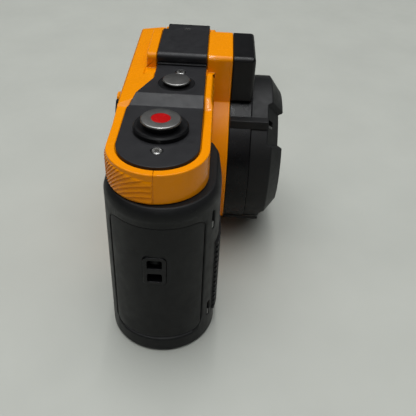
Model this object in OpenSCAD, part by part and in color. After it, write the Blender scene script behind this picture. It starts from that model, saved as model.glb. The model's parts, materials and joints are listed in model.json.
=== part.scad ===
// Rugged waterproof hand-held camera: orange two-half body, black hand grip at one end,
// black metal spine plates along the top, round lens drum in front, display at the back.
// Frame: the lens axis stands at x = 0 and looks along -y, the parting plane of the two
// body halves is y = 0, and the base stands on z = 0. The grip is at -x.

/* [Body] */
// Height of the lens axis over the base
lens_z = 39; // [38:0.5:42]
// Distance from the lens axis to the centre of the rounded grip end
grip_reach = 72.8; // [70:0.1:80]
// Half thickness of the body at the rounded end and at the front wall
cap_r = 17.5; // [17:0.1:19]
// Distance from the parting plane to the back wall behind the display
back_y = 18.4; // [18:0.1:20]
// Distance from the lens axis to the far side wall
body_far = 31.4; // [30.8:0.2:35]
// Distance from the lens axis to the inner side of the grip
body_near = 49.3; // [48:0.1:51]
// Height of the underside of the body
body_bottom = 5; // [4:0.1:5.5]
// Height of the hump over the lens
hump_top = 90; // [86:0.5:93]
// Step down from the hump to the rim around the upper spine plate
hump_rise = 5.3; // [4.5:0.1:6]
// Step down from there to the rim around the lower spine plate
rim_step = 2.8; // [2.4:0.1:3.2]
// Height of the orange cap over the grip
cap_h = 11.5; // [10.5:0.1:12.5]
// Wall of the body halves
wall = 2.2; // [1.8:0.1:2.4]
// Radius of the upright corners at the far side
corner_r = 3; // [3:0.5:5]
// Gap between the two body halves, filled by the gasket
seam = 0.2; // [0.2:0.05:0.5]

/* [Hump] */
// Distance from the lens axis to the hump's near side
hump_near = 15.8; // [15:0.1:17]
// Distance from the lens axis to the hump's far side
hump_far = 13.5; // [12:0.5:15]
// Radius of the hump's upper edges
hump_r = 2; // [1.5:0.5:3]
// Distance from the parting plane to the back of the hump
hump_back = 10.4; // [9.5:0.1:11]
// Length of the black front cover of the hump
hump_cover_d = 9.4; // [8:0.1:9.6]

/* [Spine plates] */
// Thickness of the spine plates
plate_t = 1.7; // [1.5:0.1:2]
// Height of the spine plates above the orange rim
plate_proud = 0.8; // [0.5:0.1:1]
// Gap between a plate and the orange lip beside it
plate_gap = 0.3; // [0.2:0.05:0.5]
// Half width of the lower plate
low_half = 14.1; // [13:0.1:14.3]
// Distance from the parting plane to the plates' back edge beside the hump
mid_back = 6.2; // [5.5:0.1:7]
// Where the slope from the lower to the upper plate starts
slope_x = -46.9; // [-48:0.1:-46]
// Length of the slope
slope_len = 5; // [4:0.1:6]

/* [Top controls] */
// Distance from the lens axis to the record button
record_x = -63.4; // [-65:0.1:-61]
// Radius of the record button
record_r = 7; // [6.5:0.1:7.5]
// Travel of the record button
record_travel = 1; // [0.6:0.1:1]
// Radius of the record button's raised collar
record_collar_r = 9.75; // [9:0.05:10.5]
// Distance from the lens axis to the power button
power_x = -32.3; // [-33:0.1:-31]
// Distance from the parting plane to the power button
power_y = -3; // [-4:0.1:-2]
// Radius of the power button
power_r = 5.3; // [5:0.1:5.6]
// Travel of the power button
power_travel = 0.7; // [0.4:0.1:0.7]
// Radius of the silver screw heads on top
screw_r = 1.9; // [1.6:0.1:2.1]

/* [Lens] */
// Radius of the lens drum
drum_r = 34; // [32:0.5:34]
// Radius of the orange flange behind the drum
flange_r = 34.6; // [34:0.1:35]
// Distance from the parting plane to the front of the flange
flange_d = 24.7; // [24:0.1:26]
// Length of the drum's rear part
housing_d = 9.3; // [8.5:0.1:10]
// Length of the straight part of the guard
guard_d = 9; // [8:0.1:9.6]
// Length of the bevel at the guard's front
bevel_d = 5.2; // [4.6:0.1:6]
// Radial depth of the bevel
bevel_r = 7; // [6:0.1:7.4]
// Step down from the guard's four lobes to the notches between them
notch_d = 2; // [1.5:0.1:2.2]
// Angle that one notch covers
notch_angle = 33; // [28:1:40]
// Angle that the notches are turned from the diagonals towards the vertical
notch_lean = 3.5; // [0:0.5:4]
// Half width of the bar that the drum's corner rails are cut from, as a share of the drum's radius
rail_w_share = 0.73; // [0.72:0.005:0.75]
// Half height of that bar
rail_h_share = 0.735; // [0.725:0.005:0.75]
// Height of the upper rail at the grip's side, over the lens axis
rail_near_share = 0.795; // [0.77:0.005:0.81]
// How much smaller the front glass is than the lens barrel, in radius
glass_inset = 0.7; // [0.6:0.1:1.2]
// Outer radius of the lens barrel
barrel_r = 19; // [18.8:0.1:19.3]

/* [Grip] */
// Radius of the grip's rounded end
grip_r = 20.6; // [20:0.1:20.8]
// Distance from the parting plane to the centre of the grip's rounded end
grip_y = -1.5; // [-2.2:0.05:-1.5]
// Wall of the grip
grip_wall = 2.6; // [2.2:0.1:2.8]
// Thickness of the rubber skin around the grip's end
wrap_t = 1.2; // [1:0.1:1.4]
// Width of the groove around the rubber skin
wrap_groove = 0.2; // [0.2:0.1:0.6]
// Height of the lower edge of the rubber skin
wrap_low = 8.5; // [6:0.5:10]
// Distance from the grip's top to the upper edge of the rubber skin
wrap_drop = 7.6; // [7.2:0.2:12]
// Height of the middle of the strap anchor
anchor_z = 43.6; // [38.6:0.5:46.1]
// Distance between the finger ribs
rib_pitch = 2.6; // [2.4:0.1:3]
// Width of the battery door
door_w = 25; // [22:0.5:27]

/* [Back] */
// Height of the lower edge of the display glass
display_low = 33; // [28:0.5:34]
// Distance from the upper rim down to the display glass
display_drop = 7.7; // [7.3:0.1:10.7]
// Radius of the round keys
key_r = 4.4; // [4:0.1:5]
// Travel of the round keys
key_travel = 0.5; // [0.3:0.1:0.5]

/* [Hidden] */
$fn = 72;

eps = 0.01;
near_x = -grip_reach;
mid_rim = hump_top - hump_rise;
low_rim = mid_rim - rim_step;
cap_bottom = low_rim - cap_h;
slope_end = slope_x + slope_len;
cap_flare = near_x + 12.8;
flare_len = 25;
saddle_t = 1.5;
deck_drop = plate_t - plate_proud;
low_deck = low_rim - deck_drop;
mid_deck = mid_rim - deck_drop;
low_plate = low_rim + plate_proud;
mid_plate = mid_rim + plate_proud;
groove_w = 0.6;
plate_end = -hump_near - groove_w;
guard_r = drum_r - 0.5;
guard_bore = guard_r - 8.9;
rail_x = rail_w_share * drum_r;
rail_z = rail_h_share * drum_r;
rail_near_z = rail_near_share * drum_r;
glass_r = barrel_r - glass_inset;
housing_front = flange_d + 0.1 + housing_d;
guard_back = housing_front + 0.1;
guard_edge = guard_back + guard_d;
guard_front = guard_edge + bevel_d;
glass_d = guard_front - 13;
glass_t = 3;
barrel_back = 6.5;
display_high = mid_rim - display_drop;
display_near = -27;
display_far = 20.6;
grip_top = cap_bottom - 0.2;
wrap_high = grip_top - wrap_drop;
battery_x0 = near_x - 9;
battery_x1 = near_x + 13;
run_fit = 0.05;
slide_gap = 0.3;

// ---------- helpers ----------

// Flat shape drawn in x and z, given a thickness from y0 to y1.
module wall_xz(y0, y1) translate([0, y1, 0]) rotate([90, 0, 0]) linear_extrude(y1 - y0) children();

// Flat shape drawn in y and z, given a thickness from x0 to x1.
module wall_yz(x0, x1) translate([x0, 0, 0]) rotate([90, 0, 90]) linear_extrude(x1 - x0) children();

// Round part on the lens axis: its own +z points out of the lens, and d is measured from y = 0.
module on_lens(d = 0) translate([0, -d, lens_z]) rotate([90, 0, 0]) children();

// Box between two opposite corners.
module box(a, b) translate(a) cube(b - a);

// Rectangle between two corners with rounded corners.
module round_rect(x0, y0, x1, y1, r) {
    translate([x0 + r, y0]) square([x1 - x0 - 2 * r, y1 - y0]);
    translate([x0, y0 + r]) square([x1 - x0, y1 - y0 - 2 * r]);
    for (x = [x0 + r, x1 - r], y = [y0 + r, y1 - r]) translate([x, y]) circle(r, $fn = 48);
}

// Tube on z from the height z0 to z1.
module tube(r_out, r_in, z0, z1) difference() {
    translate([0, 0, z0]) cylinder(r = r_out, h = z1 - z0);
    translate([0, 0, z0 - 1]) cylinder(r = r_in, h = z1 - z0 + 2);
}

// Disc with a chamfered upper edge.
module button_disc(r, h, chamfer) {
    cylinder(r = r, h = h - chamfer);
    translate([0, 0, h - chamfer]) cylinder(r1 = r, r2 = r - chamfer, h = chamfer);
}

// Pan head screw with a hexagon socket, its head top at z = 0.
module screw(head_r, head_h, shank_r, length) difference() {
    union() {
        translate([0, 0, -head_h]) button_disc(head_r, head_h, 0.3);
        translate([0, 0, -length]) cylinder(r = shank_r, h = length - head_h + eps);
    }
    translate([0, 0, -head_h * 0.6]) cylinder(r = head_r * 0.5, h = head_h, $fn = 6);
}

// Round wire coil on z, from z = 0 to h, as rings of points swept along a helix.
module coil(r, wire, h, turns) {
    sides = 6;
    steps = turns * 16;
    function at(i, j) = let (a = 360 * i / 16, b = 360 * j / sides, q = r - wire + wire * cos(b))
        [q * cos(a), q * sin(a), wire + (h - 2 * wire) * i / steps + wire * sin(b)];
    polyhedron(
        points = [for (i = [0:steps], j = [0:sides - 1]) at(i, j)],
        faces = concat(
            [[for (j = [sides - 1:-1:0]) j]],
            [for (i = [0:steps - 1], j = [0:sides - 1])
                [i * sides + j, i * sides + (j + 1) % sides,
                (i + 1) * sides + (j + 1) % sides, (i + 1) * sides + j]],
            [[for (j = [0:sides - 1]) steps * sides + j]]));
}

// ---------- outlines of the body ----------

// Plan of the body: rounded near end, flared back, rounded far corners, grown by o.
module body_plan(o = 0) {
    translate([near_x, 0]) circle(cap_r + o);
    polygon([[near_x, -cap_r - o], [0, -cap_r - o], [0, back_y + o], [cap_flare + flare_len, back_y + o],
        [cap_flare, cap_r + o], [near_x, cap_r + o]]);
    round_rect(-20, -cap_r - o, body_far + o, back_y + o, corner_r + o);
}

// Side view of the body: cap at the near end, slope, and the deep part, grown by o.
module body_side(o, low, mid) polygon([
    [near_x - cap_r - o, cap_bottom - o], [near_x - cap_r - o, low], [slope_x, low],
    [slope_end, mid], [body_far + o, mid], [body_far + o, body_bottom - o],
    [-body_near - o, body_bottom - o], [-body_near - o, cap_bottom - o]]);

// End view of the body: lip at the front, shoulder at the back, bevelled bottom edges.
module body_end(o = 0) polygon([
    [-cap_r - o, body_bottom + 3], [-cap_r - o, mid_rim - 2.1 + o], [-cap_r + 0.9, mid_rim + o],
    [mid_back + 2.4, mid_rim + o], [back_y - 0.8, mid_rim - 2.1 + o],
    [back_y + o, mid_rim - 2.9 + o], [back_y + o, body_bottom + 3], [back_y - 3, body_bottom - o],
    [-cap_r + 3, body_bottom - o]]);

// Hump seen along the lens axis, with rounded upper edges.
hump_low = lens_z + 0.6 * drum_r;
module hump_outline(top) {
    translate([-hump_near, hump_low]) square([hump_near + hump_far, top - hump_r - hump_low]);
    translate([-hump_near + hump_r, hump_low])
        square([hump_near + hump_far - 2 * hump_r, top - hump_low]);
    for (x = [-hump_near + hump_r, hump_far - hump_r]) translate([x, top - hump_r]) circle(hump_r, $fn = 48);
}

// Plan of the spine: rounded near end, taper, straight part beside the hump, grown by o.
module spine_plan(o = 0) {
    translate([near_x, 0]) circle(low_half + o);
    polygon([[near_x, -low_half - o], [body_far + 5, -low_half - o], [body_far + 5, mid_back + o],
        [slope_end + 13.6, mid_back + o], [slope_x - 1.4, low_half + o], [near_x, low_half + o]]);
}

// Side view of what lies above the decks, where the plates sit.
module above_deck() polygon([
    [near_x - 25, low_deck], [slope_x, low_deck], [slope_end, mid_deck],
    [-hump_near + saddle_t + 0.1, mid_deck], [-hump_near + saddle_t + 0.1, hump_top - saddle_t - 0.1],
    [hump_far - saddle_t - 0.1, hump_top - saddle_t - 0.1], [hump_far - saddle_t - 0.1, mid_deck],
    [body_far + 5, mid_deck], [body_far + 5, hump_top + 5], [near_x - 25, hump_top + 5]]);

// Room for the spine plates in the orange body.
module plate_pocket() intersection() {
    translate([0, 0, body_bottom]) linear_extrude(100) spine_plan(plate_gap);
    wall_xz(-20, 20) above_deck();
}

// Inside of the body halves.
module body_cavity() intersection() {
    linear_extrude(100) body_plan(-wall);
    wall_xz(-20, 20) body_side(-wall, low_deck - wall, mid_deck - wall);
    wall_yz(near_x - 25, body_far + 5) body_end(-wall);
}

// Whole orange body without its inside.
module body_solid() {
    difference() {
        intersection() {
            linear_extrude(100) body_plan();
            wall_xz(-20, 25) body_side(0, low_rim, mid_rim);
            wall_yz(near_x - 25, body_far + 5) body_end();
        }
        // slanted far corners beside the plate
        far_slope(-20, -low_half - plate_gap);
        far_slope(mid_back + plate_gap, 25);
        // gaps between the rounded lip ends and the hump
        lip_end(-21.85, -cap_r - 1, -low_half - plate_gap, -15.95, 1.55, 1.8);
        lip_end(-22.7, mid_back + plate_gap, hump_back + 0.6, 8.4, 2, 1.05);
    }
    wall_xz(-flange_d, hump_back) hump_outline(hump_top - 0.3);
}

module far_slope(y0, y1) wall_xz(y0, y1) polygon([[body_far - 3.9, mid_rim + eps],
    [body_far + 2, mid_rim + eps], [body_far + 2, mid_rim - 5.3]]);

// Cut from a lip's end, rounded about (x, y) with radius r, to the hump, as deep as drop.
module lip_end(x, y0, y1, y, r, drop) difference() {
    box([x, y0, mid_rim - drop], [-hump_near, y1, hump_top]);
    translate([x, y, low_rim]) cylinder(r = r, h = 20);
}

// Wells of the two top buttons, grown by o: they hang from the spine plate into the body.
record_well_r = 8.6;
power_well_r = 6.8;
record_well_z = low_plate - 7.2;
power_well_z = mid_plate - 5.2;
module button_wells(o) {
    translate([record_x, 0, record_well_z - o]) cylinder(r = record_well_r + o, h = 8);
    translate([power_x, power_y, power_well_z - o]) cylinder(r = power_well_r + o, h = 6);
}

// Places of the silver screws along the spine: x, y and head height.
screw_places = [[near_x - 4.2, 0, low_plate], [power_x + 10, -3.9, mid_plate],
    [hump_far + 9.9, -3.9, mid_plate]];

module screw_cuts(o) for (p = screw_places)
    translate([p[0], p[1], p[2] - 6.2]) cylinder(r = 0.9 + o, h = 7);

// Pocket of the port door in the far wall.
port_y0 = 2.6;
port_y1 = 14.6;
port_z0 = 20;
port_z1 = 62;
port_t = 2;
port_pin_y = port_y1 + 0.9;
port_pin_x = body_far - 1.6;
bay_x = body_far - 10.4;

// ---------- orange body ----------

module front_shell() color("orange") difference() {
    union() {
        intersection() {
            body_solid();
            box([near_x - 25, -40, 0], [body_far + 5, -seam / 2, 100]);
        }
        on_lens(cap_r - 1) cylinder(r = flange_r, h = flange_d - cap_r + 1, $fn = 144);
    }
    body_cavity();
    plate_pocket();
    button_wells(0.3);
    screw_cuts(0.1);
    on_lens(10) cylinder(r = barrel_r + 0.3, h = flange_d);
    translate([0, 0, -1]) cylinder(r = nut_r + 0.3, h = body_bottom + 10);
    base_screw_cuts(0.1);
}

module rear_shell() color("orange") difference() {
    union() {
        difference() {
            intersection() {
                body_solid();
                box([near_x - 25, seam / 2, 0], [body_far + 5, 40, 100]);
            }
            body_cavity();
        }
        // walls of the port bay
        box([bay_x - 1.2, port_y0 - 0.4, port_z0 - 0.4], [body_far - 1, port_y1 - 0.6, port_z1 + 0.4]);
        // raised thumb rests on both sides of the display
        thumb_rest(display_near - frame_w - 5.2, display_near - frame_w - 0.2, 1.7);
        thumb_rest(display_far + frame_w + 0.2, display_far + frame_w + 4.2, 0.5);
    }
    plate_pocket();
    button_wells(0.3);
    screw_cuts(0.1);
    translate([0, 0, -1]) cylinder(r = nut_r + 0.3, h = body_bottom + 10);
    base_screw_cuts(0.1);
    // opening of the display
    wall_xz(0, back_y + 5)
        round_rect(display_near + 2, display_low + 2, display_far - 2, display_high - 2, 2);
    wall_xz(back_y - 0.9, back_y + 5)
        round_rect(display_near - frame_w - 0.2, display_low - 1.6, display_far + frame_w + 0.2,
            display_high + 3, 3);
    // slot of the zoom rocker
    wall_xz(back_y - 3.2, back_y + 5) round_rect(rocker_x - rocker_half - 0.4, rocker_z - 3.9,
        rocker_x + rocker_half + 0.4, rocker_z + 3.9, 1);
    translate([rocker_x, rocker_y, rocker_z - 5.3]) cylinder(r = 0.8, h = 10.6, $fn = 48);
    // bay and hinge room of the port door
    box([body_far - port_t - 0.2, port_y0 - 0.25, port_z0 - 0.25],
        [body_far + 2, port_pin_y, port_z1 + 0.25]);
    box([bay_x, port_y0 + 1, port_z0 + 2], [body_far, port_y1 - 1.8, port_z1 - 2]);
    translate([port_pin_x, port_pin_y, port_z0 - 0.25])
        cylinder(r = 2.1, h = port_z1 - port_z0 + 0.5, $fn = 48);
    translate([port_pin_x, port_pin_y, port_z0 - 3]) cylinder(r = 0.8, h = port_z1 - port_z0 + 6, $fn = 48);
}

// Flat-topped rest on the back wall, from x0 to x1, raised by h.
module thumb_rest(x0, x1, h) wall_xz(back_y - 1, back_y + h) round_rect(x0, display_low, x1, rest_top, 1.6);

// Flat seal between the halves, set in from the outside and from the inside.
module shell_gasket() color("dimgray") wall_xz(-seam / 2, seam / 2) difference() {
    body_side(-0.15, low_deck - 0.5, mid_deck - 0.5);
    body_side(-wall + 0.3, low_deck - wall + 0.3, mid_deck - wall + 0.3);
    translate([record_x - record_well_r - 0.4, record_well_z - 0.4]) square([2 * record_well_r + 0.8, 20]);
    translate([power_x - power_well_r - 0.4, power_well_z - 0.4]) square([2 * power_well_r + 0.8, 20]);
    translate([-nut_r - 0.4, 0]) square([2 * nut_r + 0.8, body_bottom + 10]);
    translate([near_x - 5.4, low_deck - 5]) square([2.4, 8]);
}

// ---------- spine plates ----------

// Side view of the spine plate: lower level, slope, upper level.
module spine_side() polygon([
    [near_x - 20, low_deck], [slope_x, low_deck], [slope_end, mid_deck], [plate_end, mid_deck],
    [plate_end, mid_plate - 0.4], [plate_end - 0.4, mid_plate], [slope_end, mid_plate],
    [slope_x, low_plate], [near_x - 20, low_plate]]);

module spine_plate() color([0.13, 0.13, 0.14]) difference() {
    union() {
        intersection() {
            translate([0, 0, low_deck - 5]) linear_extrude(20) spine_plan();
            wall_xz(-20, 20) spine_side();
        }
        translate([record_x, 0, record_well_z]) cylinder(r = record_well_r, h = low_plate - record_well_z);
        translate([power_x, power_y, power_well_z]) cylinder(r = power_well_r, h = mid_plate - power_well_z);
    }
    translate([record_x, 0, record_well_z + 1.6]) cylinder(r = record_r - 0.8, h = 20);
    translate([record_x, 0, record_well_z - 1]) cylinder(r = 2 + run_fit, h = 20);
    translate([power_x, power_y, power_well_z + 1.4]) cylinder(r = power_r - 0.8, h = 20);
    translate([power_x, power_y, power_well_z - 1]) cylinder(r = 1.5 + run_fit, h = 20);
    // dish around the power button
    translate([power_x, power_y, mid_plate - 0.6]) cylinder(r = power_r + 1.7, h = 2);
    screw_seats();
}

// Counterbores for the top screws.
module screw_seats() for (p = screw_places) translate([p[0], p[1], p[2]]) {
    translate([0, 0, -1]) cylinder(r = screw_r + 0.15, h = 3);
    translate([0, 0, -7]) cylinder(r = 1, h = 10);
}

module hump_saddle() color([0.13, 0.13, 0.14]) difference() {
    union() {
        wall_xz(-low_half, mid_back) difference() {
            intersection() {
                hump_outline(hump_top);
                translate([-50, mid_deck + 0.05]) square([100, 30]);
            }
            translate([-hump_near + saddle_t, 0])
                square([hump_near + hump_far - 2 * saddle_t, hump_top - saddle_t]);
        }
        // foot under the groove
        box([-hump_near - 0.25, -low_half, mid_deck + 0.05], [-hump_near + 0.5, mid_back, mid_plate + 0.5]);
    }
    box([-hump_near - 1, -20, mid_plate + 0.5], [-hump_near + 0.45, 20, mid_plate + 1.05]);
}

module far_plate() color([0.13, 0.13, 0.14]) difference() {
    wall_yz(hump_far + 0.3, body_far - 0.4)
        translate([-low_half, mid_deck]) square([low_half + mid_back - 1, plate_t]);
    translate([body_far - 0.4, 0, mid_plate]) rotate([0, 45, 0]) cube([1, 60, 1], center = true);
    screw_seats();
}

module top_screws() color("silver") for (p = screw_places)
    translate([p[0], p[1], p[2] + 0.1]) screw(screw_r, 1.1, 0.9, 6.2);

// ---------- front cover of the hump ----------

cover_back = flange_d + 0.1;
cover_front = cover_back + hump_cover_d;
cover_low = lens_z + drum_r + 1.2;
cover_room = hump_top - 0.3 - cover_low;
lamp_z = cover_low + 0.452 * cover_room;
lamp_half = 0.194 * cover_room;
lamp_box = 0.34 * cover_room;
module hump_front_cover() color([0.1, 0.1, 0.1]) difference() {
    wall_xz(-cover_front, -cover_back) hump_outline(hump_top - 0.3);
    on_lens(0) cylinder(r = cover_low - lens_z, h = 60, $fn = 144);
    // room for the lamp
    box([-9.2, -cover_front + 1.4, lamp_z - lamp_box], [9.2, -cover_back + 1, lamp_z + lamp_box]);
    wall_xz(-cover_front - 1, -cover_back)
        round_rect(-7.6, lamp_z - lamp_half, 7.6, lamp_z + lamp_half, lamp_half * 0.67);
    // bevels of the front edges
    for (x = [-hump_near, hump_far])
        translate([x, -cover_front, hump_top]) rotate([0, 0, 45]) cube([1.6, 1.6, 80], center = true);
    translate([0, -cover_front, hump_top - 0.3]) rotate([45, 0, 0]) cube([60, 1.6, 1.6], center = true);
}

module lamp_window() color([0.85, 0.88, 0.9, 0.5]) wall_xz(-cover_front + 0.1, -cover_front + 1.3)
    round_rect(-7.5, lamp_z - lamp_half + 0.1, 7.5, lamp_z + lamp_half - 0.1, lamp_half * 0.64);

module lamp_board() color("khaki") {
    box([-8.6, -cover_back - 2.2, lamp_z - lamp_box + 0.5], [8.6, -cover_back - 1, lamp_z + lamp_box - 0.5]);
    for (x = [-4, 4]) translate([x, -cover_back - 2.1, lamp_z]) rotate([90, 0, 0])
        cylinder(r = lamp_half * 0.67, h = 1.4);
}

// ---------- record button ----------

disc_t = 0.9;
record_disc = low_plate + 3.6;
module record_stem() color([0.08, 0.08, 0.08]) translate([record_x, 0, 0]) {
    translate([0, 0, low_plate + 0.4]) cylinder(r = record_r - 0.9, h = record_disc - low_plate - 0.4);
    translate([0, 0, record_well_z - 1.6]) cylinder(r = 2, h = low_plate + 0.5 - record_well_z + 1.6);
    // clip that stops the stem under its well
    translate([0, 0, record_well_z - 1.1]) cylinder(r = 3, h = 0.8);
}

module record_cap() color("silver") translate([record_x, 0, record_disc]) difference() {
    button_disc(record_r, disc_t, 0.45);
    translate([0, 0, disc_t - 0.5]) cylinder(r = 3.4, h = 1);
}

module record_dot() color("red") translate([record_x, 0, record_disc + disc_t - 0.5])
    cylinder(r = 3.38, h = 0.45);

module record_collar() color([0.08, 0.08, 0.08]) translate([record_x, 0, low_plate]) difference() {
    button_disc(record_collar_r, 2, 0.5);
    translate([0, 0, -1]) cylinder(r = record_r - 0.8, h = 5);
    // shallow dish under the button's edge
    translate([0, 0, 1.6]) cylinder(r1 = record_r, r2 = record_r + 1.4, h = 0.41);
}

module record_spring() color("gray") translate([record_x, 0, record_well_z + 1.65])
    coil(record_r - 1.5, 0.35, low_plate + 0.35 - record_well_z - 1.65, 4);

// ---------- power button ----------

power_disc = mid_plate + 0.8;
module power_stem() color([0.08, 0.08, 0.08]) translate([power_x, power_y, 0]) {
    translate([0, 0, mid_plate - 0.6]) cylinder(r = power_r - 0.9, h = power_disc - mid_plate + 0.6);
    translate([0, 0, power_well_z - 1.4]) cylinder(r = 1.5, h = mid_plate - power_well_z + 1);
    translate([0, 0, power_well_z - 0.95]) cylinder(r = 2.4, h = 0.7);
}

module power_cap() color("silver") translate([power_x, power_y, power_disc]) button_disc(power_r, 0.8, 0.3);

module power_ring() color([0.05, 0.05, 0.05]) translate([power_x, power_y, 0])
    tube(power_r + 1.65, power_r - 0.8, mid_plate - 0.6, mid_plate - 0.15);

module power_spring() color("gray") translate([power_x, power_y, power_well_z + 1.45])
    coil(power_r - 1.3, 0.3, mid_plate - 0.65 - power_well_z - 1.45, 3);

// ---------- zoom rocker at the back ----------

rocker_x = -45.05;
rocker_half = 8.15;
rocker_z = mid_rim - 8.3;
rocker_y = back_y - 1.6;
module zoom_rocker() color([0.08, 0.08, 0.08]) difference() {
    union() {
        translate([0, 0, rocker_z - 3.5]) linear_extrude(7) polygon([
            [rocker_x - rocker_half, rocker_y - 0.6], [rocker_x - rocker_half, back_y - 1.2],
            [rocker_x - 7.6, back_y - 0.5], [rocker_x + 0.15, back_y + 0.6], [rocker_x + 7.2, back_y + 1.5],
            [rocker_x + rocker_half, back_y + 1], [rocker_x + rocker_half, rocker_y + 0.4],
            [rocker_x + 3, rocker_y - 0.6], [rocker_x - 3, rocker_y - 0.6]]);
        translate([rocker_x, rocker_y, rocker_z - 3.5]) cylinder(r = 1.4, h = 7, $fn = 48);
    }
    translate([rocker_x, rocker_y, rocker_z - 5]) cylinder(r = 0.75 + run_fit, h = 10, $fn = 48);
}

module rocker_pin() color("silver") translate([rocker_x, rocker_y, rocker_z - 5.2])
    cylinder(r = 0.75, h = 10.4, $fn = 48);

// ---------- display ----------

rest_top = mid_rim - 4.5;
frame_w = 3.2;
module display_frame() color([0.06, 0.06, 0.06]) difference() {
    wall_xz(back_y - 0.85, back_y + 0.3) round_rect(display_near - frame_w, display_low - 1.4,
        display_far + frame_w, display_high + 2.8, 2.8);
    wall_xz(back_y - 5, back_y + 5)
        round_rect(display_near - 0.1, display_low - 0.1, display_far + 0.1, display_high + 0.1, 1.6);
}

module display_glass() color([0.05, 0.05, 0.06]) wall_xz(back_y - 0.85, back_y + 0.5)
    round_rect(display_near, display_low, display_far, display_high, 1.5);

module display_panel() color([0.2, 0.22, 0.25])
    box([display_near + 2.6, back_y - 4.4, display_low + 2.6],
        [display_far - 2.6, back_y - 0.95, display_high - 2.6]);

// ---------- lens drum ----------

module lens_housing() color([0.09, 0.09, 0.1]) on_lens(flange_d + 0.1) rotate_extrude($fn = 144)
    translate([barrel_r + 0.3, 0]) square([drum_r - barrel_r - 0.3, housing_d]);

// Section of the guard: straight side, bevel, front rim, and inner funnel, set back by s.
module guard_section(s) polygon([[guard_bore, guard_back], [guard_r, guard_back], [guard_r, guard_edge - s],
    [guard_r - bevel_r, guard_front - s], [guard_r - bevel_r - 0.4, guard_front - s],
    [guard_bore, guard_front - s - 4.4]]);

// Half angle of the lobe that is centred at the angle a.
function lobe_half(a) = 45 - notch_angle / 2 + (a % 180 == 0 ? notch_lean : -notch_lean);

// The four sectors between the notches, seen along the lens axis.
module lobes() for (a = [0:90:270]) rotate(a) polygon(concat([[0, 0]],
    [for (k = [-1:0.25:1]) 60 * [cos(k * lobe_half(a)), sin(k * lobe_half(a))]]));

module lens_guard() color([0.16, 0.16, 0.17]) on_lens() difference() {
    union() {
        rotate_extrude($fn = 144) guard_section(notch_d);
        intersection() {
            rotate_extrude($fn = 144) guard_section(0);
            linear_extrude(80) lobes();
        }
    }
    clip_places() translate([-1.7, -1.7, -2.2]) cube([3.4, 3.4, 5]);
}

// One spot on each notch's bevel, with z along the bevel's normal.
clip_share = 0.27;
module clip_places() for (a = [45, 225], s = [notch_lean, 90 - notch_lean]) rotate([0, 0, a + s])
    translate([guard_r - clip_share * bevel_r, 0, guard_edge - notch_d + clip_share * bevel_d])
    rotate([0, atan(bevel_d / bevel_r), 0]) children();

// Four right-angled corners of a bar that is bored out to the drum's radius.
module corner_rails() color([0.12, 0.12, 0.13]) on_lens(flange_d + 0.4)
    linear_extrude(guard_edge - notch_d - flange_d - 0.4) difference() {
        union() {
            square([2 * rail_x, 2 * rail_z], center = true);
            translate([-rail_x, 0]) square([rail_x, rail_near_z]);
        }
        circle(drum_r + 0.02, $fn = 144);
    }

module guard_clips() color("silver") on_lens() clip_places() translate([-1.3, 0.6, -2.1]) cube([2.6, 1, 2.1]);

// Radius between the rim over the glass (0) and the bezel's outside (1).
bezel_in = glass_r - 0.9;
bezel_out = guard_bore - 0.2;
function bezel_r(share) = bezel_in + share * (bezel_out - bezel_in);

module port_bezel() color([0.07, 0.07, 0.07]) on_lens() rotate_extrude($fn = 144) polygon([
    [barrel_r + 0.8, guard_back], [bezel_out, guard_back], [bezel_out, guard_front - notch_d - 4.6],
    [bezel_r(0.83), guard_front - notch_d - 5.4], [bezel_r(0.69), guard_front - notch_d - 5.4],
    [bezel_r(0.63), guard_front - notch_d - 6], [bezel_r(0.46), guard_front - notch_d - 6],
    [bezel_r(0.4), guard_front - notch_d - 6.6], [bezel_in, guard_front - notch_d - 6.6],
    [bezel_in, glass_d + glass_t + 0.05], [glass_r + 0.1, glass_d + glass_t + 0.05],
    [glass_r + 0.1, glass_d - 0.05], [barrel_r + 0.8, glass_d - 0.05]]);

module front_glass() color([0.7, 0.8, 0.9, 0.4]) on_lens(glass_d) cylinder(r = glass_r, h = glass_t);

module port_seal() color([0.2, 0.2, 0.2]) on_lens(glass_d - 1.05) tube(glass_r, glass_r - 1.2, 0, 1);

module lens_barrel() color([0.1, 0.1, 0.1]) on_lens(barrel_back) difference() {
    cylinder(r = barrel_r, h = glass_d - 1.1 - barrel_back);
    translate([0, 0, 2]) cylinder(r = 9, h = 8);
    translate([0, 0, 9.9]) cylinder(r = 12.2, h = 8);
    translate([0, 0, 17.8]) cylinder(r = 16.2, h = 30);
    translate([0, 0, -1]) cylinder(r = 7, h = 8);
}

// Round glass element: flat back at z = 0 and a domed front, turned from a short arc.
module element(r, rim, rise) {
    ball = (r * r + rise * rise) / (2 * rise);
    rotate_extrude() polygon(concat([[0, 0], [r, 0]],
        [for (k = [0:8]) let (q = r * (1 - k / 8)) [q, rim + rise - ball + sqrt(ball * ball - q * q)]]));
}

module front_element() color([0.6, 0.7, 0.8, 0.4]) on_lens(barrel_back + 17.8) element(16, 3, 5.4);

module middle_element() color([0.6, 0.7, 0.8, 0.4]) on_lens(barrel_back + 9.9) element(12, 2.2, 2.6);

module rear_element() color([0.6, 0.7, 0.8, 0.4]) on_lens(barrel_back + 2) element(8.8, 2, 1.8);

module iris_plate() color([0.05, 0.05, 0.05]) on_lens(barrel_back + 9.4) tube(8.9, 4.2, 0, 0.5);

module image_sensor() color([0.3, 0.25, 0.4])
    box([-5.2, -barrel_back - 0.6, lens_z - 4.2], [5.2, -barrel_back + 1.4, lens_z + 4.2]);

module sensor_board() color("darkgreen")
    box([-17, -barrel_back + 1.45, lens_z - 15], [17, -barrel_back + 2.9, lens_z + 15]);

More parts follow.
